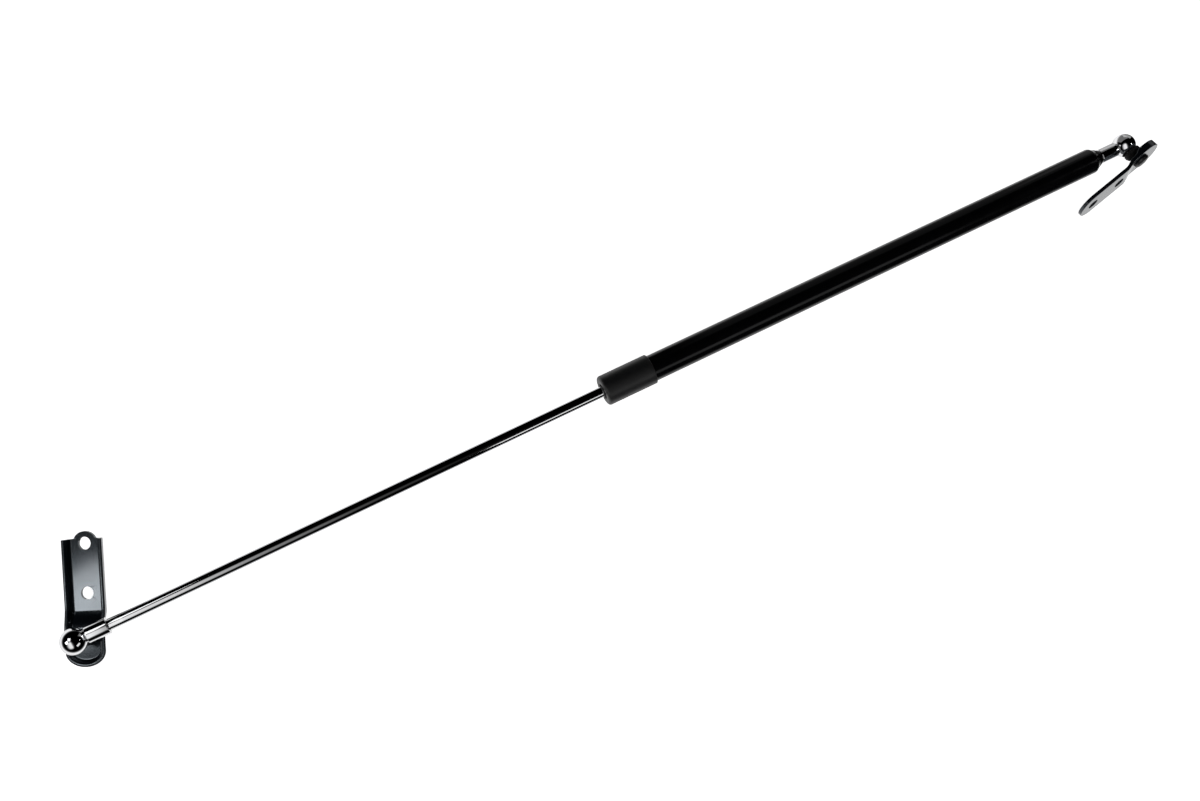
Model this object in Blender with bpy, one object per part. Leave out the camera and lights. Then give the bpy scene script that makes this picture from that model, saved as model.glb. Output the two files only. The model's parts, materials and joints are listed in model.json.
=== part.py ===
"""Gas strut stay: a long gas spring with a ball joint and a steel bracket at each end.

The strut's axis runs along +X, with the rod end at -X and the tube end at +X.
The strut is drawn at full length with its brackets turned outwards.
"""
import math

import bmesh
import bpy
from mathutils import Matrix, Vector

MM = 0.001

# ---- strut, all along X in millimetres from the rod end's ball centre ----
BALL_TO_BALL = 825.0
ROD_DIA = 8.0
TUBE_DIA = 19.0
TUBE_WALL = 1.2
TUBE_FRONT = 382.0        # open, rod end of the pressure tube
TUBE_SHOULDER = 793.0     # where the closed end starts to round over
TUBE_CLOSED = 797.7       # end of the rolled shoulder
SLEEVE_FRONT = 380.2
SLEEVE_REAR = 417.9
SLEEVE_DIA = 21.8
STROKE = 340.0

# ---- ball joints ----
BALL_DIA = 10.0
SOCKET_DIA = 17.5
SHANK_DIA = 11.3
SHANK_END = 23.2
SOCKET_FIT = 0.20         # running gap between a liner and its neighbours
SEAT_GAP = 0.15           # gap left where two fixed parts meet

# ---- brackets ----
HOLE_DIA = 8.5
ROD_WEB_T = 2.5           # rod bracket: pressed channel
ROD_HALF_W = 12.6         # at the web; the flanges lean outwards
ROD_FLANGE_H = 5.0        # above the web
ROD_FLANGE_LEAN = 1.1
ROD_HOLES = (27.8, 60.5)
ROD_EAR_R = 7.9
ROD_WEB_END = 63.6
ROD_PAD_STRAIGHT = -9.0   # where the pad's sides start to round in
ROD_PAD_END = -18.3
ROD_PAD_TOP = -16.5
ROD_JOGGLE = 4.5
TUBE_PLATE_T = 2.8        # tube bracket: stepped flat bar with a rim round its pad
TUBE_HALF_W = 12.2
TUBE_HOLES = (24.1, 49.6)
TUBE_PAD_TOP = -14.6
TUBE_JOGGLE = 2.7
TUBE_BAR_END = 61.6
TUBE_PAD_STRAIGHT = -4.0
TUBE_PAD_END = -16.4
TUBE_RIM_H = 2.8          # above the pad

# ---- how the brackets lie at rest: axis from plate to ball, and arm from ball to holes ----
ROD_STUD_AXIS = (-0.248, -0.312, 0.917)
ROD_ARM_AXIS = (0.366, 0.846, 0.387)
TUBE_STUD_AXIS = (-0.166, 0.986, -0.031)
TUBE_ARM_AXIS = (-0.959, -0.169, -0.226)

ROUND = 26                # sides of a large turned part
SMALL = 20                # sides of a small turned part


# ------------------------------------------------------------------ helpers

def clear_scene():
    for obj in list(bpy.data.objects):
        bpy.data.objects.remove(obj, do_unlink=True)


def material(name, colour, metallic, roughness):
    mat = bpy.data.materials.new(name)
    mat.use_nodes = True
    shader = mat.node_tree.nodes["Principled BSDF"]
    shader.inputs["Base Color"].default_value = (*colour, 1.0)
    shader.inputs["Metallic"].default_value = metallic
    shader.inputs["Roughness"].default_value = roughness
    mat.diffuse_color = (*colour, 1.0)
    return mat


def frame_of(axis_x, axis_z, origin=(0.0, 0.0, 0.0)):
    """A 4x4 frame with its x and z along the two directions."""
    z = Vector(axis_z).normalized()
    x = Vector(axis_x)
    x = (x - x.dot(z) * z).normalized()
    y = z.cross(x)
    rot = Matrix((x, y, z)).transposed().to_4x4()
    return Matrix.Translation(Vector(origin) * MM) @ rot


def add_mesh(name, verts, faces, frame, mat, smooth=True):
    """A named object from vertices in millimetres in its own frame."""
    mesh = bpy.data.meshes.new(name)
    mesh.from_pydata([tuple(c * MM for c in v) for v in verts], [], faces)
    bm = bmesh.new()
    bm.from_mesh(mesh)
    bmesh.ops.remove_doubles(bm, verts=bm.verts, dist=1e-7)
    bmesh.ops.recalc_face_normals(bm, faces=bm.faces)
    bm.to_mesh(mesh)
    bm.free()
    obj = bpy.data.objects.new(name, mesh)
    bpy.context.scene.collection.objects.link(obj)
    obj.matrix_world = frame
    obj.data.materials.append(mat)
    if smooth:
        mesh.shade_smooth()
    return obj


def turned(name, profile, frame, mat, sides=SMALL, hollow=False):
    """A body of revolution about the frame's z: profile is (height, radius) pairs.

    A solid body starts and ends on the axis. A hollow one is a closed loop off the axis.
    """
    verts, rows = [], []
    for height, radius in profile:
        if radius < 1e-6:
            rows.append([len(verts)])
            verts.append((0.0, 0.0, height))
            continue
        rows.append(list(range(len(verts), len(verts) + sides)))
        for i in range(sides):
            a = 2 * math.pi * i / sides
            verts.append((radius * math.cos(a), radius * math.sin(a), height))
    pairs = list(zip(rows, rows[1:]))
    if hollow:
        pairs.append((rows[-1], rows[0]))
    faces = []
    for low, high in pairs:
        for i in range(sides):
            j = (i + 1) % sides
            if len(low) == 1:
                faces.append((low[0], high[i], high[j]))
            elif len(high) == 1:
                faces.append((low[i], high[0], low[j]))
            else:
                faces.append((low[i], high[i], high[j], low[j]))
    return add_mesh(name, verts, faces, frame, mat)


def arc(centre, radius, start, end, steps):
    """Profile points on a circle, angles in degrees from the height axis."""
    points = []
    for i in range(steps + 1):
        a = math.radians(start + (end - start) * i / steps)
        points.append((centre[0] + radius * math.cos(a), centre[1] + radius * math.sin(a)))
    return points


def ring(inner, outer, low, high, chamfer=0.3):
    """Closed profile of a plain ring with chamfered outer edges."""
    return [(low, inner), (low, outer - chamfer), (low + chamfer, outer),
            (high - chamfer, outer), (high, outer - chamfer), (high, inner)]


def join(obj, other, operation):
    """Boolean of two bodies, applied at once."""
    mod = obj.modifiers.new(operation.lower(), "BOOLEAN")
    mod.operation = operation
    mod.solver = "EXACT"
    mod.object = other
    bpy.context.view_layer.update()
    result = bpy.data.meshes.new_from_object(
        obj.evaluated_get(bpy.context.evaluated_depsgraph_get()))
    obj.modifiers.clear()
    old = obj.data
    result.name = old.name
    obj.data = result
    bpy.data.meshes.remove(old)
    bpy.data.objects.remove(other, do_unlink=True)


def drill(obj, frame, x, radius, low, high, sides=SMALL):
    """A round hole through a plate, at x on its centre line."""
    place = frame @ Matrix.Translation((x * MM, 0, 0))
    profile = [(low, 0.0), (low, radius), (high, radius), (high, 0.0)]
    join(obj, turned("drill", profile, place, obj.data.materials[0], sides), "DIFFERENCE")


def smooth_step(value, start, end):
    t = min(max((value - start) / (end - start), 0.0), 1.0)
    return t * t * (3 - 2 * t)


# ------------------------------------------------------------------ materials

clear_scene()
CHROME = material("chrome", (0.80, 0.80, 0.82), 1.0, 0.08)
BLACK_PAINT = material("black_paint", (0.010, 0.010, 0.012), 0.0, 0.28)
BLACK_PLASTIC = material("black_plastic", (0.025, 0.025, 0.027), 0.0, 0.55)
BLACK_COAT = material("black_e_coat", (0.018, 0.019, 0.022), 0.35, 0.33)
DARK_STUD = material("stud_steel", (0.05, 0.05, 0.055), 0.9, 0.35)
RUBBER = material("rubber", (0.012, 0.012, 0.012), 0.0, 0.75)
SEAL_RED = material("seal_rubber", (0.16, 0.05, 0.03), 0.0, 0.6)
ACETAL = material("acetal", (0.78, 0.76, 0.70), 0.0, 0.4)
BRASS = material("brass", (0.62, 0.45, 0.18), 1.0, 0.3)
ZINC = material("zinc_steel", (0.55, 0.56, 0.58), 1.0, 0.35)
PTFE = material("ptfe", (0.06, 0.09, 0.07), 0.0, 0.45)

ALONG = frame_of((0, 0, -1), (1, 0, 0))                      # z of a turned part along the strut


# ------------------------------------------------------------------ gas spring cylinder

R_TUBE = TUBE_DIA / 2
R_BORE = R_TUBE - TUBE_WALL
R_ROD = ROD_DIA / 2
ROLL = 3.0                                                    # rolled shoulder radius
MOUTH_R = 6.2                                                 # hole left in the rolled end

turned("pressure_tube",
       [(TUBE_FRONT, R_BORE), (TUBE_FRONT, R_TUBE - 0.3), (TUBE_FRONT + 0.3, R_TUBE),
        (TUBE_SHOULDER, R_TUBE)]
       + arc((TUBE_SHOULDER, R_TUBE - ROLL), ROLL, 90, 40, 3)[1:]
       + [(TUBE_CLOSED, MOUTH_R + 1.15), (TUBE_CLOSED, MOUTH_R), (TUBE_CLOSED - 1.4, MOUTH_R),
          (TUBE_SHOULDER + 0.4, R_BORE - 1.0), (TUBE_SHOULDER - 0.8, R_BORE)],
       ALONG, BLACK_PAINT, ROUND, hollow=True)

PLUG_FRONT = TUBE_SHOULDER - 8.0
TUBE_SOCKET_FACE = BALL_TO_BALL - SHANK_END
turned("end_plug",
       [(PLUG_FRONT, 0), (PLUG_FRONT, R_BORE - 0.6), (PLUG_FRONT + 0.5, R_BORE - SEAT_GAP),
        (TUBE_SHOULDER - 1.2, R_BORE - SEAT_GAP), (TUBE_SHOULDER - 0.2, R_BORE - 1.3),
        (TUBE_CLOSED - 2.2, MOUTH_R - SEAT_GAP), (TUBE_CLOSED + SEAT_GAP, MOUTH_R - SEAT_GAP),
        (TUBE_CLOSED + SEAT_GAP, 7.2), (TUBE_SOCKET_FACE - SEAT_GAP, 5.5),
        (TUBE_SOCKET_FACE - SEAT_GAP, 3.7), (TUBE_SOCKET_FACE + 9.5, 3.7),
        (TUBE_SOCKET_FACE + 10.2, 3.0), (TUBE_SOCKET_FACE + 10.2, 0)],
       ALONG, BLACK_PAINT, SMALL)

turned("end_sleeve",
       [(SLEEVE_FRONT, R_ROD + 1.6), (SLEEVE_FRONT, SLEEVE_DIA / 2 - 2.0)]
       + arc((SLEEVE_FRONT + 2.0, SLEEVE_DIA / 2 - 2.0), 2.0, 150, 90, 2)
       + [(SLEEVE_REAR - 0.4, SLEEVE_DIA / 2), (SLEEVE_REAR, SLEEVE_DIA / 2 - 0.4),
          (SLEEVE_REAR, R_TUBE + SEAT_GAP), (TUBE_FRONT - SEAT_GAP, R_TUBE + SEAT_GAP),
          (TUBE_FRONT - SEAT_GAP, R_ROD + 1.6)],
       ALONG, BLACK_PLASTIC, ROUND, hollow=True)

# The parts that close the tube's mouth sit one behind the other.
GUIDE = TUBE_FRONT + 2.6
turned("retaining_ring", ring(6.6, R_BORE - SEAT_GAP, TUBE_FRONT + 0.9, TUBE_FRONT + 2.4),
       ALONG, ZINC, ROUND, hollow=True)
turned("rod_guide",
       [(GUIDE, R_ROD + 0.15), (GUIDE, R_BORE - 0.6), (GUIDE + 0.4, R_BORE - SEAT_GAP),
        (GUIDE + 3.4, R_BORE - SEAT_GAP), (GUIDE + 3.4, R_BORE - 1.9),
        (GUIDE + 6.0, R_BORE - 1.9), (GUIDE + 6.0, R_BORE - SEAT_GAP),
        (GUIDE + 9.6, R_BORE - SEAT_GAP), (GUIDE + 10.0, R_BORE - 0.6),
        (GUIDE + 10.0, R_ROD + 0.15)],
       ALONG, BRASS, ROUND, hollow=True)
turned("guide_o_ring", arc((GUIDE + 4.7, R_BORE - 0.95), 0.85, 0, 315, 7),
       ALONG, RUBBER, ROUND, hollow=True)
turned("rod_seal",
       [(GUIDE + 10.2, R_ROD + 0.12), (GUIDE + 10.2, R_BORE - 0.5), (GUIDE + 11.0, R_BORE - 0.12),
        (GUIDE + 14.4, R_BORE - 0.12), (GUIDE + 15.0, R_BORE - 0.7),
        (GUIDE + 14.2, R_BORE - 2.0), (GUIDE + 14.2, R_ROD + 1.1), (GUIDE + 15.0, R_ROD + 0.3)],
       ALONG, SEAL_RED, ROUND, hollow=True)
turned("seal_washer", ring(R_ROD + 0.3, R_BORE - SEAT_GAP, GUIDE + 15.2, GUIDE + 16.6),
       ALONG, ZINC, ROUND, hollow=True)


# ------------------------------------------------------------------ rod and piston

ROD_TIP = PLUG_FRONT - STROKE - 3.0     # the rod's inner end, 3 mm short of the plug when pushed in
PISTON_X = ROD_TIP - 17.0               # piston's front face
SPACER_FRONT = GUIDE + 17.0             # the spacer stops the rod at full length
PISTON_R = R_BORE - 0.45

turned("piston_rod",
       [(SHANK_END - 10.2, 0), (SHANK_END - 10.2, 2.4), (SHANK_END - 9.6, 2.9),
        (SHANK_END + 0.3, 2.9), (SHANK_END + 0.3, R_ROD - 0.25), (SHANK_END + 0.7, R_ROD),
        (PISTON_X - 1.7, R_ROD), (PISTON_X - 1.7, 2.8), (ROD_TIP - 0.5, 2.8),
        (ROD_TIP, 2.3), (ROD_TIP, 0)],
       ALONG, CHROME, SMALL)
turned("piston_washer_front", ring(3.0, 6.4, PISTON_X - 1.55, PISTON_X - 0.15, 0.2),
       ALONG, ZINC, SMALL, hollow=True)
turned("piston",
       [(PISTON_X, 3.0), (PISTON_X, PISTON_R - 0.4), (PISTON_X + 0.4, PISTON_R),
        (PISTON_X + 2.6, PISTON_R), (PISTON_X + 2.6, PISTON_R - 1.8),
        (PISTON_X + 5.4, PISTON_R - 1.8), (PISTON_X + 5.4, PISTON_R),
        (PISTON_X + 7.6, PISTON_R), (PISTON_X + 8.0, PISTON_R - 0.4), (PISTON_X + 8.0, 3.0)],
       ALONG, BRASS, ROUND, hollow=True)
turned("piston_ring", ring(PISTON_R - 1.55, R_BORE - 0.16, PISTON_X + 2.85, PISTON_X + 5.15, 0.15),
       ALONG, PTFE, ROUND, hollow=True)
turned("piston_washer_rear", ring(3.0, 5.6, PISTON_X + 8.15, PISTON_X + 9.35, 0.2),
       ALONG, ZINC, SMALL, hollow=True)
turned("piston_nut",
       [(PISTON_X + 9.5, 3.45), (PISTON_X + 9.5, 5.2), (PISTON_X + 10.0, 5.8),
        (PISTON_X + 14.0, 5.8), (PISTON_X + 14.5, 5.2), (PISTON_X + 14.5, 3.45)],
       ALONG, ZINC, 6, hollow=True)
turned("stroke_spacer", ring(R_ROD + SEAT_GAP, 6.3, SPACER_FRONT, PISTON_X - 1.7, 0.5),
       ALONG, ACETAL, SMALL, hollow=True)


# ------------------------------------------------------------------ ball joints

R_SOCKET = SOCKET_DIA / 2
R_SHANK = SHANK_DIA / 2
R_BALL = BALL_DIA / 2
LINER_R = 6.3
MOUTH = 5.75                          # radius of the socket's opening


def socket(name, frame, shank_side):
    """A round chromed head open below, with a cylindrical shank to one side.

    The frame's origin is the ball centre and its z points away from the opening.
    shank_side is +1 or -1: which way the shank leaves along the frame's x.
    """
    mouth_z = -math.sqrt(R_SOCKET ** 2 - MOUTH ** 2)
    top = LINER_R + SOCKET_FIT
    start = math.degrees(math.acos(mouth_z / R_SOCKET))
    outer = arc((0, 0), R_SOCKET, start, 0, 12)
    bore = [(top - 0.4, 0.0), (top - 0.4, top - 1.6), (top - 1.6, top), (-3.6, top),
            (-4.4, MOUTH - 0.35), (mouth_z, MOUTH)]
    outer[0] = (mouth_z, MOUTH)
    outer[-1] = (R_SOCKET, 0.0)
    head = turned(name, bore + outer[1:], frame, CHROME, SMALL)
    along = frame @ frame_of((0, 0, 1), (shank_side, 0, 0))
    inner = top + 0.9
    profile = [(inner, 0.0), (inner, 3.6), (R_SOCKET - 1.3, 4.55), (R_SOCKET - 0.1, 4.65),
               (R_SOCKET + 0.1, R_SHANK - 0.45), (R_SOCKET + 0.7, R_SHANK),
               (SHANK_END - 0.5, R_SHANK), (SHANK_END, R_SHANK - 0.5), (SHANK_END, 0.0)]
    join(head, turned("shank", profile, along, CHROME, SMALL), "UNION")
    thread_r = 3.85 if shank_side < 0 else 3.05
    bore = [(SHANK_END - 10.6, 0.0), (SHANK_END - 10.6, thread_r), (SHANK_END + 1.0, thread_r),
            (SHANK_END + 1.0, 0.0)]
    join(head, turned("thread_bore", bore, along, CHROME, SMALL), "DIFFERENCE")
    head.data.shade_smooth()
    return head


def ball_liner(name, frame):
    """A cup of bearing plastic around the ball, gripping it past its middle."""
    inner = R_BALL + SOCKET_FIT
    lip = -2.9
    start = math.degrees(math.acos(lip / inner))
    cup = arc((0, 0), inner, 0, start, 7)
    cup[0] = (inner, 0.0)
    cap = LINER_R - 0.5
    outer = [(-3.5, 4.9), (-3.5, LINER_R - 0.7), (-3.0, LINER_R - 0.15),
             (LINER_R - 1.8, LINER_R - 0.15), (cap, LINER_R - 1.8), (cap, 0.0)]
    turned(name, cup + outer, frame, ACETAL, SMALL)


def dust_seal(name, frame):
    """A rubber cup around the stud's neck that hugs the underside of the head."""
    profile = [(-12.1, 3.3), (-12.1, 4.8), (-11.4, 5.8), (-9.8, 6.5), (-8.3, 6.5), (-7.5, 6.1),
               (-7.25, 5.5), (-7.45, 5.05), (-8.3, 4.0), (-8.6, 3.3)]
    turned(name, profile, frame, RUBBER, SMALL, hollow=True)


def ball_stud(name, frame, pad_top, plate_t):
    """Ball, neck, conical foot, and a riveted head behind the plate."""
    foot = pad_top + SEAT_GAP
    back = pad_top - plate_t
    neck_r = 2.8
    neck_z = -math.sqrt(R_BALL ** 2 - neck_r ** 2)
    ball = arc((0, 0), R_BALL, 0, math.degrees(math.acos(neck_z / R_BALL)), 9)
    ball[0] = (R_BALL, 0.0)
    profile = ball + [(-12.3, neck_r), (-12.4, 4.2), (foot + 0.5, 5.9), (foot, 6.0),
                      (foot, 4.3), (back - SEAT_GAP, 4.3), (back - SEAT_GAP, 6.0),
                      (back - 1.6, 5.8), (back - 2.5, 4.2), (back - 2.7, 0.0)]
    turned(name, profile, frame, DARK_STUD, SMALL)


# ------------------------------------------------------------------ brackets

def loft(name, path, section, frame, flat_start):
    """A tray-like body from sections down its two sides, which meet at a tip.

    The path holds x, y and outward normal x and y of the right side, mirrored for the left.
    With flat_start the body starts square, otherwise it starts at a tip too.
    """
    verts, right, left = [], [], []
    for x, y, nx, ny in path:
        for rows, side in ((right, 1), (left, -1)):
            points = section(x, side * y, nx, side * ny)
            rows.append(list(range(len(verts), len(verts) + len(points))))
            verts += points
    left[-1] = right[-1]
    if not flat_start:
        left[0] = right[0]
    faces = []
    for rows in (right, left):
        for a, b in zip(rows, rows[1:]):
            faces += [(a[i], a[i + 1], b[i + 1], b[i]) for i in range(len(a) - 1)]
    for j in range(len(right) - 1):
        for k in (0, -1):
            quad = (right[j][k], right[j + 1][k], left[j + 1][k], left[j][k])
            faces.append(tuple(dict.fromkeys(quad)))              # a triangle beside a tip
    if flat_start:
        faces.append(tuple(right[0] + left[0][::-1]))
    used = sorted({i for face in faces for i in face})
    renumber = {old: new for new, old in enumerate(used)}
    return add_mesh(name, [verts[i] for i in used],
                    [tuple(renumber[i] for i in face) for face in faces],
                    frame, BLACK_COAT, smooth=False)


def half_ellipse(straight, end, half_width, steps):
    """Path points that round in from the straight sides to a tip at x = end."""
    length, points = straight - end, []
    for i in range(steps + 1):
        a = math.pi / 2 * (1 + i / steps)
        n = Vector((math.cos(a) / length, math.sin(a) / half_width)).normalized()
        points.append((straight + length * math.cos(a), half_width * math.sin(a), n.x, n.y))
    return points


def channel_bracket(name, frame):
    """Pressed channel: a flat web with two holes and an ear, a raised round pad, a rim all round."""
    t, w = ROD_WEB_T, ROD_HALF_W
    web_back = ROD_PAD_TOP - ROD_JOGGLE - t

    def back(x):
        return web_back + ROD_JOGGLE * smooth_step(-x, -16.8, -5.2)

    def rim(x):
        high, low = web_back + t + ROD_FLANGE_H, ROD_PAD_TOP + 2.8
        return high + (low - high) * smooth_step(-x, -20.0, -4.0)

    stations = (ROD_WEB_END, 40.0, 26.0, 21.0, 16.8, 14.0, 11.0, 8.0, 5.2, -2.0)
    path = [(x, w, 0.0, 1.0) for x in stations]
    path += half_ellipse(ROD_PAD_STRAIGHT, ROD_PAD_END, w, 8)
    corner = [(3.0, 0.0), (1.5, 0.4), (0.4, 1.5), (0.0, 3.0)]      # outer bend of the press tool

    def section(x, y, nx, ny):
        low, high = back(x), rim(x)
        lean = ROD_FLANGE_LEAN
        wall = [(-lean, high - 0.4), (0.4 - lean, high), (t - 0.4 - lean, high),
                (t - lean, high - 0.4), (t - 0.1, low + t + 0.9), (t + 0.9, low + t)]
        outline = [(d, low + h) for d, h in corner] + wall
        return [(x - nx * d, y - ny * d, z) for d, z in outline]

    bracket = loft(name, path, section, frame, flat_start=True)
    ear_x = ROD_HOLES[1]
    place = frame @ Matrix.Translation((ear_x * MM, 0, 0))
    low, high = web_back + 0.02, web_back + t - 0.02
    ear = turned("ear", [(low, 0.0), (low, ROD_EAR_R - 0.3), (low + 0.3, ROD_EAR_R),
                         (high - 0.3, ROD_EAR_R), (high, ROD_EAR_R - 0.3), (high, 0.0)],
                 place, BLACK_COAT, ROUND)
    join(bracket, ear, "UNION")
    for x in ROD_HOLES:
        drill(bracket, frame, x, HOLE_DIA / 2, web_back - 3, web_back + t + 3)
    drill(bracket, frame, 0.0, 4.3 + SEAT_GAP, web_back - 3, ROD_PAD_TOP + 3)
    return bracket


def bar_bracket(name, frame):
    """Flat bar with round ends and two holes, stepped up to a pad that has a low rim."""
    t, w = TUBE_PLATE_T, TUBE_HALF_W
    bar_back = TUBE_PAD_TOP - TUBE_JOGGLE - t
    centre = TUBE_BAR_END - w

    def back(x):
        return bar_back + TUBE_JOGGLE * smooth_step(-x, -17.5, -7.5)

    path = []
    for i in range(7):                            # the round end away from the pad
        a = math.pi / 2 * i / 6
        path.append((centre + w * math.cos(a), w * math.sin(a), math.cos(a), math.sin(a)))
    path += [(x, w, 0.0, 1.0) for x in (24.0, 17.5, 15.0, 12.5, 10.0, 7.5, 5.5, 3.0, 0.5, -1.5)]
    path += half_ellipse(TUBE_PAD_STRAIGHT, TUBE_PAD_END, w, 8)

    def section(x, y, nx, ny):
        low = back(x)
        top = low + t + TUBE_RIM_H * smooth_step(-x, -6.0, 1.5)
        outline = [(0.35, low), (0.0, low + 0.35), (0.0, top - 0.35), (0.35, top), (1.7, top),
                   (2.1, max(top - 0.5, low + t)), (2.6, low + t)]
        return [(x - nx * d, y - ny * d, z) for d, z in outline]

    bracket = loft(name, path, section, frame, flat_start=False)
    mid = TUBE_PAD_TOP - t / 2
    for x in TUBE_HOLES:
        drill(bracket, frame, x, HOLE_DIA / 2, mid - TUBE_JOGGLE - 4, mid - TUBE_JOGGLE + 4)
    drill(bracket, frame, 0.0, 4.3 + SEAT_GAP, mid - 4, mid + 4)
    return bracket


def ball_joint(end, ball_x, stud_axis, arm_axis, shank_side):
    """Socket, liner, seal and stud about one ball centre. Returns the stud's frame."""
    centre = (ball_x, 0.0, 0.0)
    axis = (0.0, stud_axis[1], stud_axis[2])      # the socket faces the stud, square to the strut
    head_frame = frame_of((1, 0, 0), axis, centre)
    stud_frame = frame_of(arm_axis, stud_axis, centre)
    socket(end + "_socket", head_frame, shank_side)
    ball_liner(end + "_ball_liner", head_frame)
    dust_seal(end + "_dust_seal", stud_frame)
    return stud_frame


rod_frame = ball_joint("rod", 0.0, ROD_STUD_AXIS, ROD_ARM_AXIS, 1)
ball_stud("rod_ball_stud", rod_frame, ROD_PAD_TOP, ROD_WEB_T)
channel_bracket("rod_bracket", rod_frame)

tube_frame = ball_joint("tube", BALL_TO_BALL, TUBE_STUD_AXIS, TUBE_ARM_AXIS, -1)
ball_stud("tube_ball_stud", tube_frame, TUBE_PAD_TOP, TUBE_PLATE_T)
bar_bracket("tube_bracket", tube_frame)


# ------------------------------------------------------------------ place the whole

def set_down():
    """Moves everything so that the bottom centre of the whole part is the origin."""
    bpy.context.view_layer.update()
    corners = [o.matrix_world @ v.co for o in bpy.data.objects for v in o.data.vertices]
    low = [min(c[i] for c in corners) for i in range(3)]
    high = [max(c[i] for c in corners) for i in range(3)]
    shift = Matrix.Translation((-(low[0] + high[0]) / 2, -(low[1] + high[1]) / 2, -low[2]))
    for obj in bpy.data.objects:
        obj.matrix_world = shift @ obj.matrix_world


set_down()
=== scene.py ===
"""Gas strut stay: the visible surfaces, materials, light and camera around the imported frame."""

import json
import math

import bmesh
import bpy
from mathutils import Matrix, Vector

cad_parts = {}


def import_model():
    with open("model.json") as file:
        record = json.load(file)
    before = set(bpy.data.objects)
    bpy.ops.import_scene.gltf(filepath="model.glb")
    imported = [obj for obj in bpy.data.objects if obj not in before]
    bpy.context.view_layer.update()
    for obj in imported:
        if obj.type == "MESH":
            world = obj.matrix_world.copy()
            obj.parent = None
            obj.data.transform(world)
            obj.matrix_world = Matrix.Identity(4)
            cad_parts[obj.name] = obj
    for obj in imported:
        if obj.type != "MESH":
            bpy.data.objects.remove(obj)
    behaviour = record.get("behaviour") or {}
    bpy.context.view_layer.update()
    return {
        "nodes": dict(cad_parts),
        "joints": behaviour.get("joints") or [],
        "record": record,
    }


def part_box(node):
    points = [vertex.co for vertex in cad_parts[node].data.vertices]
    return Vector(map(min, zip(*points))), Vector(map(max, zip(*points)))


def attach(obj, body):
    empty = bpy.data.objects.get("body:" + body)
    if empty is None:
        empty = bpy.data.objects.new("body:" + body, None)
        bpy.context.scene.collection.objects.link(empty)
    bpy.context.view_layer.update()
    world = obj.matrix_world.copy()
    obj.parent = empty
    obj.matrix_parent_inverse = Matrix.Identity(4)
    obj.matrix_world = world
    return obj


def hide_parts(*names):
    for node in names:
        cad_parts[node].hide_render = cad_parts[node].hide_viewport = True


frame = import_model()

MM = 0.001
ROUND = 128               # sides of the strut's round parts
FINE = 96                 # sides of the small round parts
GAP = 0.15                # left where two fixed parts meet, mm

# ------------------------------------------------------------------ places, from the frame

JOINTS = {j["name"]: j for j in frame["joints"]}
MOUNTS = {m["name"]: m for m in frame["record"]["mounts"]}
ROD_BALL = Vector(JOINTS["rod_tilt"]["pos_m"])
TUBE_BALL = Vector(JOINTS["tube_tilt"]["pos_m"])


def frame_of(axis_x, axis_z, origin):
    """A 4x4 frame at origin with its x and z along the two directions."""
    z = Vector(axis_z).normalized()
    x = Vector(axis_x)
    x = (x - x.dot(z) * z).normalized()
    return Matrix.Translation(origin) @ Matrix((x, z.cross(x), z)).transposed().to_4x4()


ALONG = frame_of((0, 0, -1), (1, 0, 0), ROD_BALL)       # turned parts on the strut's axis
ROD_HEAD = frame_of((1, 0, 0), JOINTS["rod_swivel"]["axis"], ROD_BALL)
TUBE_HEAD = frame_of((1, 0, 0), JOINTS["tube_swivel"]["axis"], TUBE_BALL)
ROD_STUD = frame_of(Vector(MOUNTS["rod_bracket_back"]["pos_m"]) - ROD_BALL,
                    JOINTS["rod_stud_spin"]["axis"], ROD_BALL)
TUBE_STUD = frame_of(Vector(MOUNTS["tube_bracket_back"]["pos_m"]) - TUBE_BALL,
                     JOINTS["tube_stud_spin"]["axis"], TUBE_BALL)


def along(node):
    """Where a node starts and ends along the strut, in mm from the rod end's ball."""
    low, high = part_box(node)
    return (low[0] - ROD_BALL.x) / MM, (high[0] - ROD_BALL.x) / MM


# ------------------------------------------------------------------ mesh helpers

def add_mesh(name, verts, faces, place, mat, sharp=35.0):
    """A named object from vertices in mm in its own frame, baked into world coordinates."""
    mesh = bpy.data.meshes.new(name)
    mesh.from_pydata([tuple(c * MM for c in v) for v in verts], [], faces)
    bm = bmesh.new()
    bm.from_mesh(mesh)
    bmesh.ops.remove_doubles(bm, verts=bm.verts, dist=1e-7)
    bmesh.ops.recalc_face_normals(bm, faces=bm.faces)
    bm.to_mesh(mesh)
    bm.free()
    mesh.transform(place)
    mesh.shade_smooth()
    mesh.set_sharp_from_angle(angle=math.radians(sharp))
    obj = bpy.data.objects.new(name, mesh)
    bpy.context.scene.collection.objects.link(obj)
    mesh.materials.append(mat)
    return obj


def turned(name, profile, place, mat, sides=FINE, hollow=False, sharp=35.0):
    """A body of revolution about the frame's z: profile is (height, radius) pairs."""
    verts, rows = [], []
    for height, radius in profile:
        if radius < 1e-6:
            rows.append([len(verts)])
            verts.append((0.0, 0.0, height))
            continue
        rows.append(list(range(len(verts), len(verts) + sides)))
        for i in range(sides):
            a = 2 * math.pi * i / sides
            verts.append((radius * math.cos(a), radius * math.sin(a), height))
    pairs = list(zip(rows, rows[1:]))
    if hollow:
        pairs.append((rows[-1], rows[0]))
    faces = []
    for low, high in pairs:
        for i in range(sides):
            j = (i + 1) % sides
            if len(low) == 1:
                faces.append((low[0], high[i], high[j]))
            elif len(high) == 1:
                faces.append((low[i], high[0], low[j]))
            else:
                faces.append((low[i], high[i], high[j], low[j]))
    return add_mesh(name, verts, faces, place, mat, sharp)


def arc(centre, radius, start, end, steps):
    """Profile points on a circle, angles in degrees from the height axis."""
    points = []
    for i in range(steps + 1):
        a = math.radians(start + (end - start) * i / steps)
        points.append((centre[0] + radius * math.cos(a), centre[1] + radius * math.sin(a)))
    return points


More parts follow.
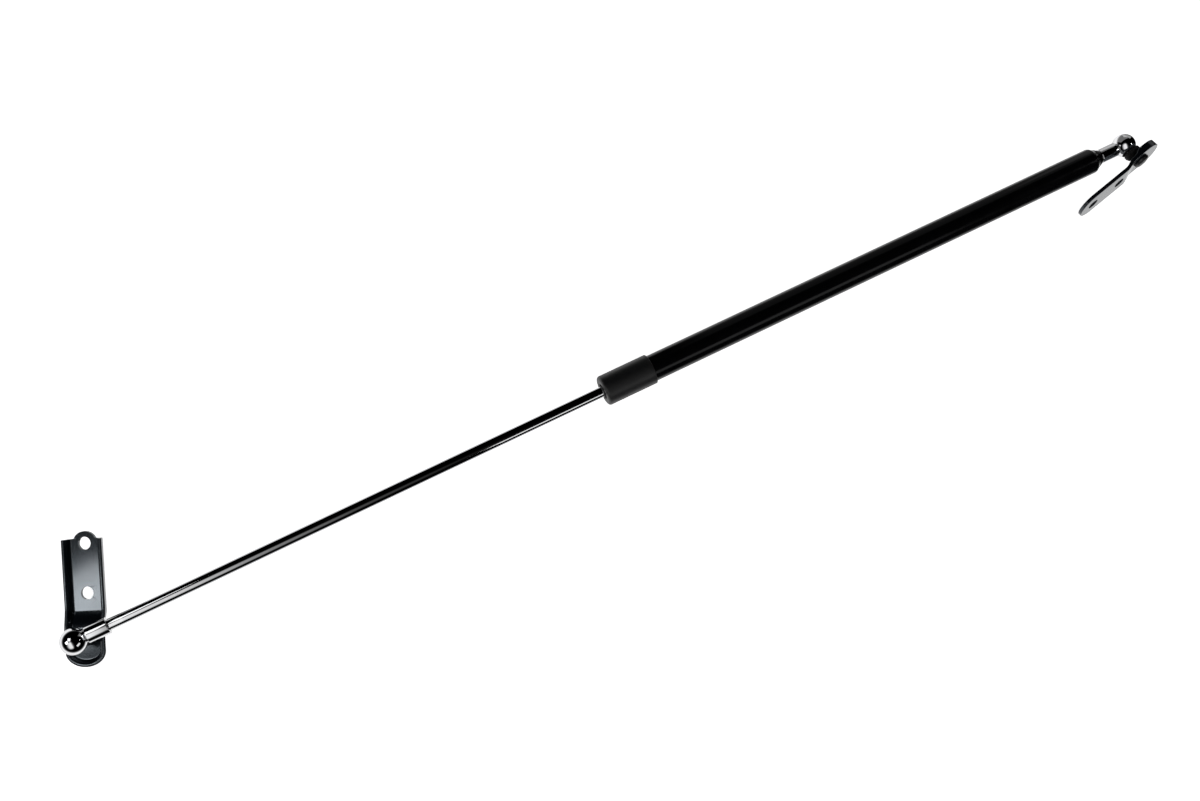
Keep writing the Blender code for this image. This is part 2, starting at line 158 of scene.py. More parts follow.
def join(obj, other, operation):
    """Boolean of two bodies, applied at once."""
    mod = obj.modifiers.new(operation.lower(), "BOOLEAN")
    mod.operation = operation
    mod.solver = "EXACT"
    mod.object = other
    bpy.context.view_layer.update()
    result = bpy.data.meshes.new_from_object(
        obj.evaluated_get(bpy.context.evaluated_depsgraph_get()))
    obj.modifiers.clear()
    old = obj.data
    obj.data = result
    bpy.data.meshes.remove(old)
    bpy.data.objects.remove(other, do_unlink=True)


def soften(obj, width):
    """Rounds the edges that are sharper than 30 degrees, in place."""
    mod = obj.modifiers.new("edges", "BEVEL")
    mod.width = width * MM
    mod.segments = 3
    mod.limit_method = "ANGLE"
    mod.angle_limit = math.radians(30)
    flat = obj.modifiers.new("normals", "WEIGHTED_NORMAL")
    flat.keep_sharp = True
    obj.data.shade_smooth()
    bpy.context.view_layer.update()
    result = bpy.data.meshes.new_from_object(
        obj.evaluated_get(bpy.context.evaluated_depsgraph_get()))
    obj.modifiers.clear()
    old = obj.data
    obj.data = result
    bpy.data.meshes.remove(old)


def smooth_step(value, start, end):
    t = min(max((value - start) / (end - start), 0.0), 1.0)
    return t * t * (3 - 2 * t)


def place(piece, node, body, slot):
    """Rides on its body and stands for its CAD node, which it hides."""
    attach(piece, body)
    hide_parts(node)


# ------------------------------------------------------------------ materials

class Surface:
    """A Principled material with object-space noise for its colour, roughness and bump."""

    def __init__(self, name, metallic, coat=0.0, coat_roughness=0.03, specular=0.5):
        self.mat = bpy.data.materials.new(name)
        self.mat.use_nodes = True
        self.tree = self.mat.node_tree
        self.shader = self.tree.nodes["Principled BSDF"]
        self.shader.inputs["Metallic"].default_value = metallic
        self.shader.inputs["Coat Weight"].default_value = coat
        self.shader.inputs["Coat Roughness"].default_value = coat_roughness
        self.shader.inputs["Specular IOR Level"].default_value = specular
        self.coords = self.node("ShaderNodeTexCoord").outputs["Object"]
        self.height = None

    def node(self, kind):
        return self.tree.nodes.new(kind)

    def link(self, out, into):
        self.tree.links.new(out, into)

    def stretched(self, scale):
        mapping = self.node("ShaderNodeMapping")
        mapping.inputs["Scale"].default_value = scale
        self.link(self.coords, mapping.inputs["Vector"])
        return mapping.outputs["Vector"]

    def noise(self, scale, detail=3.0, roughness=0.5, stretch=None):
        tex = self.node("ShaderNodeTexNoise")
        tex.inputs["Scale"].default_value = scale
        tex.inputs["Detail"].default_value = detail
        tex.inputs["Roughness"].default_value = roughness
        self.link(self.stretched(stretch) if stretch else self.coords, tex.inputs["Vector"])
        return tex.outputs["Fac"]

    def spread(self, value, low, high, from_low=0.3, from_high=0.7):
        ranged = self.node("ShaderNodeMapRange")
        ranged.inputs["From Min"].default_value = from_low
        ranged.inputs["From Max"].default_value = from_high
        ranged.inputs["To Min"].default_value = low
        ranged.inputs["To Max"].default_value = high
        self.link(value, ranged.inputs["Value"])
        return ranged.outputs["Result"]

    def ramp(self, value, stops):
        made = self.node("ShaderNodeValToRGB")
        elements = made.color_ramp.elements
        while len(elements) < len(stops):
            elements.new(0.5)
        for element, (position, colour) in zip(elements, stops):
            element.position = position
            element.color = (*colour, 1.0)
        self.link(value, made.inputs["Fac"])
        return made.outputs["Color"]

    def bump(self, value, distance, strength=1.0):
        made = self.node("ShaderNodeBump")
        made.inputs["Distance"].default_value = distance * MM
        made.inputs["Strength"].default_value = strength
        self.link(value, made.inputs["Height"])
        if self.height:
            self.link(self.height, made.inputs["Normal"])
        self.height = made.outputs["Normal"]
        self.link(self.height, self.shader.inputs["Normal"])

    def colour(self, value):
        self.link(value, self.shader.inputs["Base Color"])

    def roughness(self, value):
        self.link(value, self.shader.inputs["Roughness"])


def chrome(name, lengthwise=False):
    """Bright plate with faint polishing lines."""
    s = Surface(name, 1.0)
    s.colour(s.ramp(s.noise(30.0, 3.0), [(0.3, (0.80, 0.805, 0.82)), (0.7, (0.87, 0.87, 0.88))]))
    lines = s.noise(60.0, 4.0, 0.6, stretch=(18.0, 1.0, 1.0) if lengthwise else None)
    s.roughness(s.spread(lines, 0.03, 0.07))
    return s.mat


def black_paint():
    """Satin gloss paint on the tube."""
    s = Surface("tube_paint", 0.0, specular=0.25)
    mottle = s.noise(60.0, 4.0)
    s.colour(s.ramp(mottle, [(0.3, (0.0012, 0.0012, 0.0016)), (0.7, (0.0028, 0.0028, 0.0034))]))
    s.roughness(s.spread(s.noise(120.0, 3.0, 0.5), 0.15, 0.20))
    return s.mat


def black_plastic():
    """Moulded sleeve with a fine matte grain."""
    s = Surface("sleeve_plastic", 0.0, specular=0.9)
    grain = s.noise(2600.0, 3.0, 0.7)
    mottle = s.noise(240.0, 4.0, 0.6)
    s.colour(s.ramp(mottle, [(0.3, (0.0030, 0.0030, 0.0034)), (0.7, (0.0060, 0.0060, 0.0066))]))
    s.roughness(s.spread(grain, 0.40, 0.55))
    s.bump(grain, 0.02, 0.3)
    return s.mat


def black_coat():
    """Thin dip coat over pressed steel: blue-grey sheen and a faint unevenness."""
    s = Surface("bracket_coat", 0.0, coat=0.4, coat_roughness=0.12, specular=0.6)
    s.shader.inputs["Specular Tint"].default_value = (0.78, 0.90, 1.0, 1.0)
    mottle = s.noise(45.0, 5.0, 0.6)
    s.colour(s.ramp(mottle, [(0.3, (0.003, 0.004, 0.006)), (0.7, (0.006, 0.008, 0.012))]))
    s.roughness(s.spread(s.noise(70.0, 4.0, 0.6), 0.17, 0.22))
    s.bump(s.noise(160.0, 3.0, 0.55), 0.008, 0.12)
    return s.mat


def stud_steel():
    """Blackened stud with turning marks."""
    s = Surface("stud_black", 0.0, coat=0.3, coat_roughness=0.2)
    s.colour(s.ramp(s.noise(200.0, 4.0), [(0.3, (0.004, 0.004, 0.005)), (0.7, (0.010, 0.010, 0.011))]))
    s.roughness(s.spread(s.noise(500.0, 3.0), 0.3, 0.5))
    s.bump(s.noise(900.0, 3.0), 0.02, 0.4)
    return s.mat


def rubber(name, dark, light):
    """Dull rubber with a fine matte bloom."""
    s = Surface(name, 0.0, specular=0.35)
    s.colour(s.ramp(s.noise(300.0, 5.0, 0.6), [(0.3, dark), (0.7, light)]))
    s.roughness(s.spread(s.noise(900.0, 3.0), 0.55, 0.8))
    s.bump(s.noise(1500.0, 3.0, 0.6), 0.02, 0.5)
    return s.mat


def plain_metal(name, dark, light, rough):
    """Turned or plated inner metal with circular tool lines."""
    s = Surface(name, 1.0)
    s.colour(s.ramp(s.noise(150.0, 4.0), [(0.3, dark), (0.7, light)]))
    s.roughness(s.spread(s.noise(600.0, 3.0, stretch=(6.0, 1.0, 1.0)), rough - 0.07, rough + 0.08))
    s.bump(s.noise(1400.0, 2.0, stretch=(6.0, 1.0, 1.0)), 0.006, 0.4)
    return s.mat


def plain_plastic(name, dark, light):
    """Bearing plastic, slightly mottled."""
    s = Surface(name, 0.0)
    s.colour(s.ramp(s.noise(180.0, 4.0), [(0.3, dark), (0.7, light)]))
    s.roughness(s.spread(s.noise(700.0, 3.0), 0.35, 0.5))
    s.bump(s.noise(1200.0, 3.0), 0.01, 0.3)
    return s.mat


ROD_CHROME = chrome("rod_chrome", lengthwise=True)
HEAD_CHROME = chrome("head_chrome")
TUBE_PAINT = black_paint()
SLEEVE = black_plastic()
COAT = black_coat()
STUD = stud_steel()
SEAL = rubber("black_rubber", (0.006, 0.006, 0.006), (0.014, 0.014, 0.014))
RED_RUBBER = rubber("red_rubber", (0.11, 0.03, 0.02), (0.18, 0.06, 0.035))
BRASS = plain_metal("turned_brass", (0.55, 0.39, 0.15), (0.68, 0.50, 0.22), 0.3)
ZINC = plain_metal("zinc_plate", (0.48, 0.49, 0.51), (0.60, 0.61, 0.63), 0.35)
ACETAL = plain_plastic("bearing_plastic", (0.70, 0.68, 0.61), (0.80, 0.78, 0.72))
FILLED = plain_plastic("filled_plastic", (0.05, 0.075, 0.06), (0.08, 0.11, 0.09))

INNER = {"retaining_ring": ZINC, "rod_guide": BRASS, "guide_o_ring": SEAL, "rod_seal": RED_RUBBER,
         "seal_washer": ZINC, "piston_ring": FILLED, "piston_washer_front": ZINC, "piston": BRASS,
         "piston_washer_rear": ZINC, "piston_nut": ZINC, "stroke_spacer": ACETAL}
for name, mat in INNER.items():         # these keep their CAD meshes
    frame["nodes"][name].data.materials.clear()
    frame["nodes"][name].data.materials.append(mat)


# ------------------------------------------------------------------ strut

R_TUBE, R_BORE, R_ROD = 9.5, 8.3, 4.0
ROLL, SHOULDER = 3.0, 4.7               # the tube's rolled shoulder: its radius and length
MOUTH_R = 6.2                           # hole left in the rolled end
THREAD = 10.2                           # how far the rod and the plug reach into their sockets
PISTON_END = 17.0                       # the rod's inner end, with piston, washers and nut


def pressure_tube():
    front, closed = along("pressure_tube")
    shoulder, steps = closed - SHOULDER, 24
    length = shoulder - front - 0.3
    profile = [(front, R_BORE), (front, R_TUBE - 0.3), (front + 0.1, R_TUBE - 0.1)]
    profile += [(front + 0.3 + length * i / steps, R_TUBE) for i in range(steps + 1)]
    profile += arc((shoulder, R_TUBE - ROLL), ROLL, 90, 42, 12)[1:]
    profile += [(closed - 0.3, MOUTH_R + 1.2), (closed, MOUTH_R + 0.9), (closed, MOUTH_R),
                (closed - 1.4, MOUTH_R), (shoulder + 0.4, R_BORE - 1.0), (shoulder - 0.8, R_BORE)]
    piece = turned("tube_skin", profile, ALONG, TUBE_PAINT, ROUND, hollow=True, sharp=28)
    place(piece, "pressure_tube", "cylinder", "black_paint")


def end_plug():
    front, back = along("end_plug")
    face = back - THREAD                    # against the socket's shank
    closed = along("pressure_tube")[1]
    profile = [(front, 0), (front, R_BORE - 0.6), (front + 0.5, R_BORE - GAP),
               (closed - SHOULDER - 1.2, R_BORE - GAP), (closed - SHOULDER - 0.2, R_BORE - 1.3),
               (closed - 2.2, MOUTH_R - GAP), (closed + GAP, MOUTH_R - GAP), (closed + GAP, 7.0),
               (closed + 0.3, 7.15), (closed + 0.9, 7.0), (face - 0.6, 5.55), (face - GAP, 5.35),
               (face - GAP, 3.7), (face + 9.5, 3.7), (back, 3.0), (back, 0)]
    piece = turned("plug_cone", profile, ALONG, TUBE_PAINT, ROUND)
    place(piece, "end_plug", "cylinder", "black_paint")


def end_sleeve():
    front, rear = along("end_sleeve")
    outer, nose = 10.9, 2.0
    tube_front = along("pressure_tube")[0]
    inner = R_ROD + 1.6
    profile = [(tube_front - GAP, inner), (front + 0.5, inner), (front + 0.12, inner + 0.25),
               (front, inner + 0.8), (front, outer - nose)]
    profile += arc((front + nose, outer - nose), nose, 180, 90, 14)[1:]
    steps = 12
    length = rear - front - nose - 0.5
    profile += [(front + nose + length * i / steps, outer) for i in range(1, steps + 1)]
    profile += arc((rear - 0.5, outer - 0.5), 0.5, 90, 0, 5)[1:]
    profile += [(rear, R_TUBE + GAP), (tube_front - GAP, R_TUBE + GAP)]
    piece = turned("sleeve_skin", profile, ALONG, SLEEVE, ROUND, hollow=True, sharp=28)
    place(piece, "end_sleeve", "cylinder", "black_plastic")


def piston_rod():
    front, tip = along("piston_rod")
    face = front + THREAD                   # the end of the socket's shank
    step = tip - PISTON_END - 1.7           # where the rod narrows in front of the piston
    profile = [(front, 0), (front, 2.4), (front + 0.6, 2.9), (face + 0.15, 2.9),
               (face + 0.15, R_ROD - 0.35), (face + 0.3, R_ROD - 0.1), (face + 0.6, R_ROD)]
    steps = 40
    length = step - face - 0.6
    profile += [(face + 0.6 + length * i / steps, R_ROD) for i in range(1, steps + 1)]
    profile += [(step, 2.8), (tip - 0.5, 2.8), (tip, 2.3), (tip, 0)]
    piece = turned("rod_skin", profile, ALONG, ROD_CHROME, ROUND, sharp=28)
    place(piece, "piston_rod", "rod", "chrome")


# ------------------------------------------------------------------ ball joints

R_HEAD, R_SHANK, R_BALL = 8.75, 5.65, 5.0
SHANK_END = 23.2
MOUTH, LINER_R, FIT = 5.75, 6.3, 0.2


def socket(name, node, body, head, side, thread_r):
    """A round chromed head, open below, blended into a cylindrical shank."""
    mouth_z = -math.sqrt(R_HEAD ** 2 - MOUTH ** 2)
    bore_top = LINER_R + FIT
    bore = [(bore_top - 0.4, 0.0), (bore_top - 0.4, bore_top - 1.6), (bore_top - 1.6, bore_top),
            (-3.6, bore_top), (-4.4, MOUTH - 0.35), (mouth_z + 0.25, MOUTH - 0.25)]
    start = math.degrees(math.acos(mouth_z / R_HEAD))
    outer = arc((0, 0), R_HEAD, start, 0, 56)
    outer[-1] = (R_HEAD, 0.0)
    piece = turned(name, bore + outer, head, HEAD_CHROME, ROUND)
    sideways = head @ frame_of((0, 0, 1), (side, 0, 0), (0, 0, 0))
    inner = bore_top + 0.9
    crease = [(R_HEAD - 1.5, 4.72), (R_HEAD - 1.15, 4.50), (R_HEAD - 0.75, 4.45), (R_HEAD - 0.45, 4.60),
              (R_HEAD - 0.25, 4.95), (R_HEAD - 0.12, 5.25)]
    collar = arc((R_HEAD + 0.55, R_SHANK - 0.6), 0.6, 180, 90, 8)
    lip = arc((SHANK_END - 0.55, R_SHANK - 0.55), 0.55, 90, 0, 8)
    profile = [(inner, 0.0), (inner, 3.6)] + crease + collar + [(R_HEAD + 4.0, R_SHANK)] + lip
    profile.append((SHANK_END, 0.0))
    join(piece, turned("shank", profile, sideways, HEAD_CHROME, ROUND), "UNION")
    bore = [(SHANK_END - 10.6, 0.0), (SHANK_END - 10.6, thread_r), (SHANK_END - 0.3, thread_r),
            (SHANK_END + 0.1, thread_r + 0.35), (SHANK_END + 1.0, thread_r + 0.35),
            (SHANK_END + 1.0, 0.0)]
    join(piece, turned("thread_bore", bore, sideways, HEAD_CHROME, FINE), "DIFFERENCE")
    piece.data.shade_smooth()
    piece.data.set_sharp_from_angle(angle=math.radians(32))
    place(piece, node, body, "chrome")


def ball_liner(name, node, body, head):
    inner = R_BALL + FIT
    start = math.degrees(math.acos(-2.9 / inner))
    cup = arc((0, 0), inner, 0, start, 24)
    cup[0] = (inner, 0.0)
    cap = LINER_R - 0.5
    outer = [(-3.4, 4.7), (-3.5, 4.9), (-3.5, LINER_R - 0.7), (-3.35, LINER_R - 0.3),
             (-3.0, LINER_R - 0.15), (LINER_R - 1.8, LINER_R - 0.15), (cap, LINER_R - 1.8), (cap, 0.0)]
    place(turned(name, cup + outer, head, ACETAL, FINE), node, body, "acetal")


def dust_seal(name, node, body, stud):
    """A rubber cup with a rolled rim, hugging the underside of the head."""
    profile = [(-12.1, 3.3), (-12.1, 4.6), (-12.0, 4.8), (-11.4, 5.75), (-10.9, 6.0), (-10.6, 5.85)]
    profile += [(-10.3, 6.15), (-9.8, 6.45), (-9.0, 6.5), (-8.3, 6.45)] + arc((-7.85, 5.85), 0.6, 75, 10, 5)
    profile += [(-7.25, 5.5), (-7.32, 5.25), (-7.45, 5.05), (-8.3, 4.0), (-8.6, 3.6), (-8.65, 3.3)]
    place(turned(name, profile, stud, SEAL, FINE, hollow=True), node, body, "rubber")


def ball_stud(name, node, body, stud, pad_top, plate_t):
    foot, back, neck_r = pad_top + GAP, pad_top - plate_t, 2.8
    neck_z = -math.sqrt(R_BALL ** 2 - neck_r ** 2)
    ball = arc((0, 0), R_BALL, 0, math.degrees(math.acos(neck_z / R_BALL)), 32)
    ball[0] = (R_BALL, 0.0)
    profile = ball + [(-12.2, neck_r), (-12.4, 3.0), (-12.45, 4.0)]
    profile += [(foot + 0.95, 5.5), (foot + 0.5, 5.85), (foot + 0.2, 6.0), (foot, 5.9)]
    profile += [(foot, 4.3), (back - GAP, 4.3), (back - GAP, 5.7), (back - GAP - 0.3, 5.95)]
    profile += [(back - 1.0, 5.95), (back - 1.7, 5.6), (back - 2.3, 4.6), (back - 2.6, 3.0)]
    profile.append((back - 2.7, 0.0))
    place(turned(name, profile, stud, STUD, FINE), node, body, "stud_steel")


# ------------------------------------------------------------------ brackets

HOLE_R = 4.25
PAD_TOP, TUBE_PAD_TOP = -16.5, -14.6
JOGGLE, TUBE_JOGGLE = 4.5, 2.7
WEB_T, PLATE_T = 2.5, 2.8
PEG_R = 4.45                            # the hole for the stud


def drill(obj, stud, x, radius, low, high):
    """A round hole through a plate, at x on its centre line."""
    spot = stud @ Matrix.Translation((x * MM, 0, 0))
    profile = [(low, 0.0), (low, radius), (high, radius), (high, 0.0)]
    join(obj, turned("drill", profile, spot, COAT, 64), "DIFFERENCE")


def loft(name, path, section, stud, flat_start):
    """A tray-like body from sections down its two sides, which meet at a tip.

    The path holds x, y and outward normal x and y of the right side, mirrored for the left.
    With flat_start the body starts square, otherwise it starts at a tip too.
    """
    verts, right, left = [], [], []
    for x, y, nx, ny in path:
        for rows, side in ((right, 1), (left, -1)):
            points = section(x, side * y, nx, side * ny)
            rows.append(list(range(len(verts), len(verts) + len(points))))
            verts += points
    left[-1] = right[-1]
    if not flat_start:
        left[0] = right[0]
    faces = []
    for rows in (right, left):
        for a, b in zip(rows, rows[1:]):
            faces += [(a[i], a[i + 1], b[i + 1], b[i]) for i in range(len(a) - 1)]
    for j in range(len(right) - 1):
        for k in (0, -1):
            quad = (right[j][k], right[j + 1][k], left[j + 1][k], left[j][k])
            faces.append(tuple(dict.fromkeys(quad)))              # a triangle beside a tip
    if flat_start:
        faces.append(tuple(right[0] + left[0][::-1]))
    used = sorted({i for face in faces for i in face})
    renumber = {old: new for new, old in enumerate(used)}
    return add_mesh(name, [verts[i] for i in used],
                    [tuple(renumber[i] for i in face) for face in faces], stud, COAT)


def half_ellipse(straight, end, half_width, steps):
    """Path points that round in from the straight sides to a tip at x = end."""
    length, points = straight - end, []
    for i in range(steps + 1):
        a = math.pi / 2 * (1 + i / steps)
        n = Vector((math.cos(a) / length, math.sin(a) / half_width)).normalized()
        points.append((straight + length * math.cos(a), half_width * math.sin(a), n.x, n.y))
    return points


def channel_bracket(name, node, body, stud):
    """Pressed channel: flat web with an ear, raised round pad, low flanges all round."""
    t, w, lean, flange = WEB_T, 12.6, 1.1, 5.0
    hole_x, ear_r, web_end = (27.8, 60.5), 7.9, 63.6
    pad_straight, pad_end = -9.0, -18.3
    web_back = PAD_TOP - JOGGLE - t

    def back(x):
        return web_back + JOGGLE * smooth_step(-x, -16.8, -5.2)

    def rim(x):
        high, low = web_back + t + flange, PAD_TOP + 2.8
        return high + (low - high) * smooth_step(-x, -20.0, -4.0)

    xs = [web_end, 56.0, 48.0, 40.0, 33.0, 26.0, 21.0, 18.5]
    xs += [16.8 - 11.6 * i / 16 for i in range(17)]
    xs += [3.0, 0.0, -4.0]
    path = [(x, w, 0.0, 1.0) for x in xs] + half_ellipse(pad_straight, pad_end, w, 28)

    def section(x, y, nx, ny):
        low, high = back(x), rim(x)
        bend = [(3.0 - 3.0 * math.sin(a), 3.0 - 3.0 * math.cos(a))
                for a in (math.pi / 2 * k / 8 for k in range(9))]
        crown = [(t / 2 - lean - (t / 2) * math.cos(a), high - 0.9 + 0.9 * math.sin(a))
                 for a in (math.pi * k / 10 for k in range(11))]
        inside = [(t + 1.3 - 1.3 * math.sin(a), low + t + 1.3 - 1.3 * math.cos(a))
                  for a in (math.pi / 2 * (8 - k) / 8 for k in range(9))]
        points = [(d, low + h) for d, h in bend] + crown + inside
        return [(x - nx * d, y - ny * d, z) for d, z in points]

    piece = loft(name, path, section, stud, flat_start=True)
    low, high = web_back + 0.01, web_back + t - 0.01
    spot = stud @ Matrix.Translation((hole_x[1] * MM, 0, 0))
    ear = [(low, 0.0), (low, ear_r), (high, ear_r), (high, 0.0)]
    join(piece, turned("ear", ear, spot, COAT, FINE), "UNION")
    for x in hole_x:
        drill(piece, stud, x, HOLE_R, web_back - 3, web_back + t + 3)
    drill(piece, stud, 0.0, PEG_R, web_back - 3, PAD_TOP + 3)
    soften(piece, 0.3)
    place(piece, node, body, "black_coat")


def bar_bracket(name, node, body, stud):
    """Flat bar with round ends and two holes, stepped up to a pad that has a low rim."""
    t, w, rim, edge = PLATE_T, 12.2, 2.8, 0.45
    hole_x, bar_end = (24.1, 49.6), 61.6
    bar_back = TUBE_PAD_TOP - TUBE_JOGGLE - t
    centre = bar_end - w

    def back(x):
        return bar_back + TUBE_JOGGLE * smooth_step(-x, -17.5, -7.5)

    path = []
    for i in range(31):
        a = math.pi / 2 * i / 30
        path.append((centre + w * math.cos(a), w * math.sin(a), math.cos(a), math.sin(a)))
    xs = [40.0, 30.0, 22.0, 19.0] + [17.5 - 10.0 * i / 20 for i in range(21)]
    xs += [6.0 - 7.5 * i / 15 for i in range(16)]
    path += [(x, w, 0.0, 1.0) for x in xs] + half_ellipse(-4.0, -16.4, w, 28)

    def section(x, y, nx, ny):
        low = back(x)
        raised = rim * smooth_step(-x, -6.0, 1.5)
        top = low + t + raised
        bend = [(edge - edge * math.sin(a), low + edge - edge * math.cos(a))
                for a in (math.pi / 2 * k / 4 for k in range(5))]
        crown = [(edge - edge * math.cos(a), top - edge + edge * math.sin(a))
                 for a in (math.pi / 2 * k / 4 for k in range(5))]
        drop = min(raised, 0.45)
        inside = [(1.65, top), (1.95, top - drop / 3), (2.1, top - drop),
                  (2.2, low + t + min(raised / 3, 0.3)), (2.6, low + t)]
        return [(x - nx * d, y - ny * d, z) for d, z in bend + crown + inside]

    piece = loft(name, path, section, stud, flat_start=False)
    mid = TUBE_PAD_TOP - t / 2
    for x in hole_x:
        drill(piece, stud, x, HOLE_R, mid - TUBE_JOGGLE - 4, mid - TUBE_JOGGLE + 4)
    drill(piece, stud, 0.0, PEG_R, mid - 4, mid + 4)
    soften(piece, 0.2)
    place(piece, node, body, "black_coat")


pressure_tube()
end_plug()
end_sleeve()
piston_rod()
socket("rod_head", "rod_socket", "rod", ROD_HEAD, 1, 3.05)
socket("tube_head", "tube_socket", "cylinder", TUBE_HEAD, -1, 3.85)
ball_liner("rod_cup", "rod_ball_liner", "rod_liner", ROD_HEAD)
ball_liner("tube_cup", "tube_ball_liner", "tube_liner", TUBE_HEAD)
dust_seal("rod_boot_skin", "rod_dust_seal", "rod_boot", ROD_STUD)
dust_seal("tube_boot_skin", "tube_dust_seal", "tube_boot", TUBE_STUD)
ball_stud("rod_stud_skin", "rod_ball_stud", "rod_mount", ROD_STUD, PAD_TOP, WEB_T)
ball_stud("tube_stud_skin", "tube_ball_stud", "tube_mount", TUBE_STUD, TUBE_PAD_TOP, PLATE_T)
channel_bracket("rod_bracket_skin", "rod_bracket", "rod_mount", ROD_STUD)
bar_bracket("tube_bracket_skin", "tube_bracket", "tube_mount", TUBE_STUD)


# ------------------------------------------------------------------ camera, floor and light

VIEW = Vector((0.1822, 0.3529, -0.9178))          # the camera looks down on the strut
RIGHT = Vector((0.8886, -0.4587, 0.0))
DOWN = Vector((-0.4210, -0.8156, -0.3972))
BALL_SEEN = (-0.3359, 0.1538, 0.7978)             # rod end's ball from the camera: right, down, ahead
LENS, SENSOR = 37.5, 36.0                         # millimetres
TABLE_AWAY = (0.248, -0.353, 0.902)               # up from the table, leaning to the viewer
WINDOW = (-0.38, -0.62, 0.68)
FLOOR_HALF = 3.0


def camera():
    forward = VIEW.normalized()
    right = (RIGHT - RIGHT.dot(forward) * forward).normalized()
    up = right.cross(forward)
    spot = ROD_BALL - (BALL_SEEN[0] * RIGHT + BALL_SEEN[1] * DOWN + BALL_SEEN[2] * VIEW)
    data = bpy.data.cameras.new("camera")
    data.sensor_width = SENSOR
    data.lens = LENS
    data.clip_start, data.clip_end = 0.02, 60.0
    obj = bpy.data.objects.new("camera", data)
    obj.matrix_world = Matrix.Translation(spot) @ Matrix((right, up, -forward)).transposed().to_4x4()
    bpy.context.scene.collection.objects.link(obj)
    bpy.context.scene.camera = obj


def floor():
    half = FLOOR_HALF
    verts = [(-half, -half, 0), (half, -half, 0), (half, half, 0), (-half, half, 0)]
    mesh = bpy.data.meshes.new("floor")
    mesh.from_pydata(verts, [], [(0, 1, 2, 3)])
    obj = bpy.data.objects.new("floor", mesh)
    bpy.context.scene.collection.objects.link(obj)
    s = Surface("white_table", 0.0, specular=0.2)
    s.colour(s.ramp(s.noise(3.0, 2.0), [(0.3, (0.93, 0.93, 0.935)), (0.7, (0.96, 0.96, 0.96))]))
    s.shader.inputs["Roughness"].default_value = 0.9
    s.shader.inputs["Emission Color"].default_value = (1.0, 1.0, 1.0, 1.0)
    s.shader.inputs["Emission Strength"].default_value = 1.0
    mesh.materials.append(s.mat)
    obj.visible_glossy = False


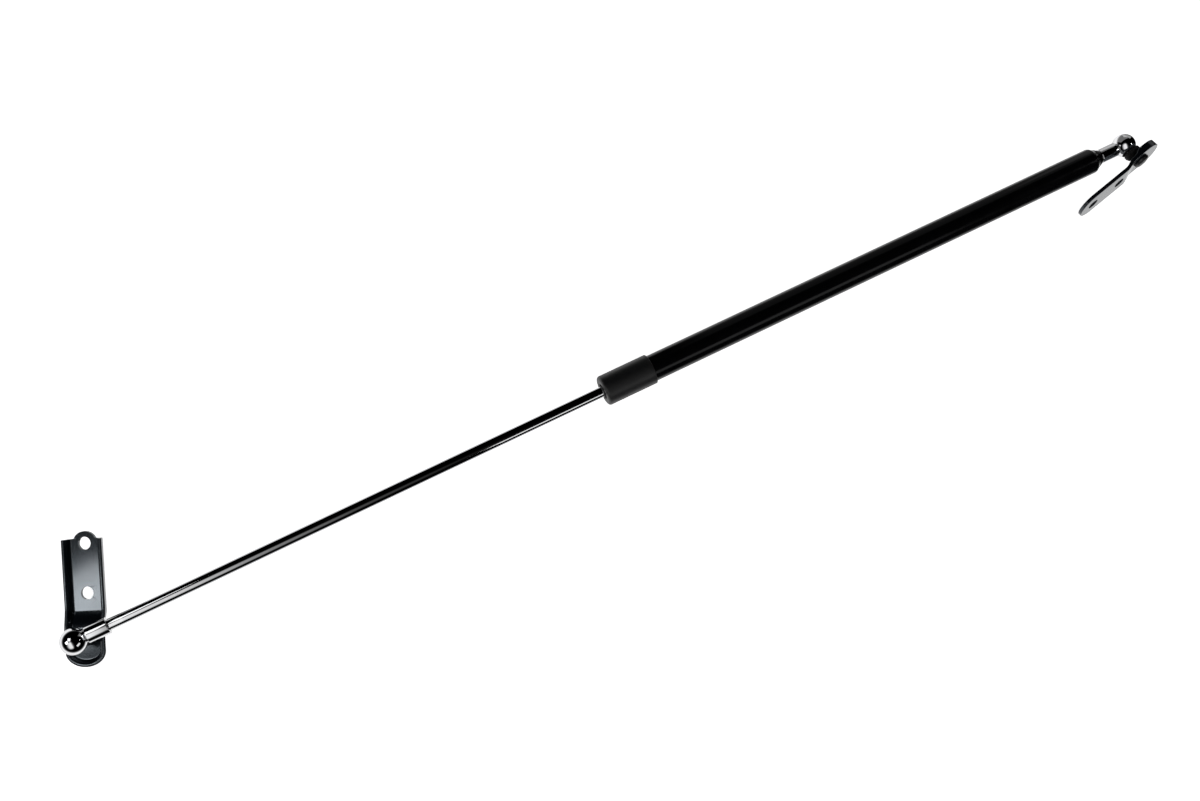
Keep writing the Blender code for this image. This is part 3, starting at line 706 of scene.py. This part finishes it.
def world():
    """A dark room over a white table, with a soft window glow on the left.

    The camera itself sees plain white past the edge of the floor.
    """
    made = bpy.data.worlds.new("studio")
    bpy.context.scene.world = made
    made.use_nodes = True
    tree = made.node_tree
    coords = tree.nodes.new("ShaderNodeTexCoord").outputs["Generated"]

    def ramp(value, stops):
        node = tree.nodes.new("ShaderNodeValToRGB")
        while len(node.color_ramp.elements) < len(stops):
            node.color_ramp.elements.new(0.5)
        for element, (position, level) in zip(node.color_ramp.elements, stops):
            element.position = position
            element.color = (level, level, level, 1.0)
        tree.links.new(value, node.inputs["Fac"])
        return node.outputs["Color"]

    def towards(direction):
        """How far a ray points along a direction, from 0 for away to 1 for along it."""
        node = tree.nodes.new("ShaderNodeVectorMath")
        node.operation = "DOT_PRODUCT"
        node.inputs[1].default_value = Vector(direction).normalized() / 2
        tree.links.new(coords, node.inputs[0])
        shift = tree.nodes.new("ShaderNodeMath")
        shift.operation = "ADD"
        shift.inputs[1].default_value = 0.5
        tree.links.new(node.outputs["Value"], shift.inputs[0])
        return shift.outputs["Value"]

    def combine(operation, a, b):
        node = tree.nodes.new("ShaderNodeVectorMath")
        node.operation = operation
        tree.links.new(a, node.inputs[0])
        tree.links.new(b, node.inputs[1])
        return node.outputs["Vector"]

    table = ramp(towards(TABLE_AWAY), [(0.0, 0.84), (0.10, 0.88), (0.2, 1.0), (0.29, 1.0),
                                       (0.34, 0.6), (0.385, 0.14), (0.43, 0.03), (0.5, 0.0)])
    glow = ramp(towards(WINDOW), [(0.0, 0.0), (0.90, 0.0), (0.935, 0.35), (0.965, 1.0), (1.0, 1.0)])
    fade = ramp(towards((1.0, 0.0, 0.0)), [(0.0, 0.0), (0.10, 0.10), (0.22, 0.9), (0.375, 1.0),
                                           (0.41, 0.75), (0.4475, 0.25), (0.4875, 0.07),
                                           (0.53, 0.02), (0.6, 0.0)])
    light = combine("ADD", table, combine("MULTIPLY", glow, fade))
    path = tree.nodes.new("ShaderNodeLightPath")
    white = tree.nodes.new("ShaderNodeMix")
    white.data_type = "RGBA"
    tree.links.new(path.outputs["Is Camera Ray"], white.inputs["Factor"])
    tree.links.new(light, white.inputs[6])
    white.inputs[7].default_value = (1.0, 1.0, 1.0, 1.0)
    tree.links.new(white.outputs[2], tree.nodes["Background"].inputs["Color"])


def lamp(name, spot, size, radiance, target):
    """A soft rectangular lamp of a given brightness, facing the target."""
    data = bpy.data.lights.new(name, "AREA")
    data.shape = "RECTANGLE"
    data.size, data.size_y = size
    data.energy = radiance * math.pi * size[0] * size[1]
    obj = bpy.data.objects.new(name, data)
    facing = (Vector(target) - Vector(spot)).to_track_quat("-Z", "Y")
    obj.matrix_world = Matrix.Translation(spot) @ facing.to_matrix().to_4x4()
    obj.visible_camera = False
    bpy.context.scene.collection.objects.link(obj)


def lights():
    """Small lamps at the two ends, a wide softbox in front and two cards behind the tube's end."""
    lamp("lamp_over_rod_end", (-0.54, 0.05, 0.49), (0.20, 0.20), 1.3, ROD_BALL)
    lamp("lamp_beside_bracket", (-0.535, -0.030, 0.161), (0.05, 0.05), 8.0, ROD_BALL)
    lamp("softbox_front", (0.45, -1.34, 0.47), (0.9, 0.50), 0.85, (0.1, 0.0, 0.0))
    lamp("lamp_right", (1.06, -0.52, 0.59), (0.08, 0.08), 12.0, TUBE_BALL)
    lamp("card_back", TUBE_BALL + Vector((0.0, 0.28, 0.19)), (0.55, 0.40), 0.16, TUBE_BALL)
    lamp("card_right", TUBE_BALL + Vector((0.30, 0.26, 0.13)), (0.34, 0.30), 0.35, TUBE_BALL)


camera()
floor()
world()
lights()

bpy.context.scene.view_settings.view_transform = "Standard"
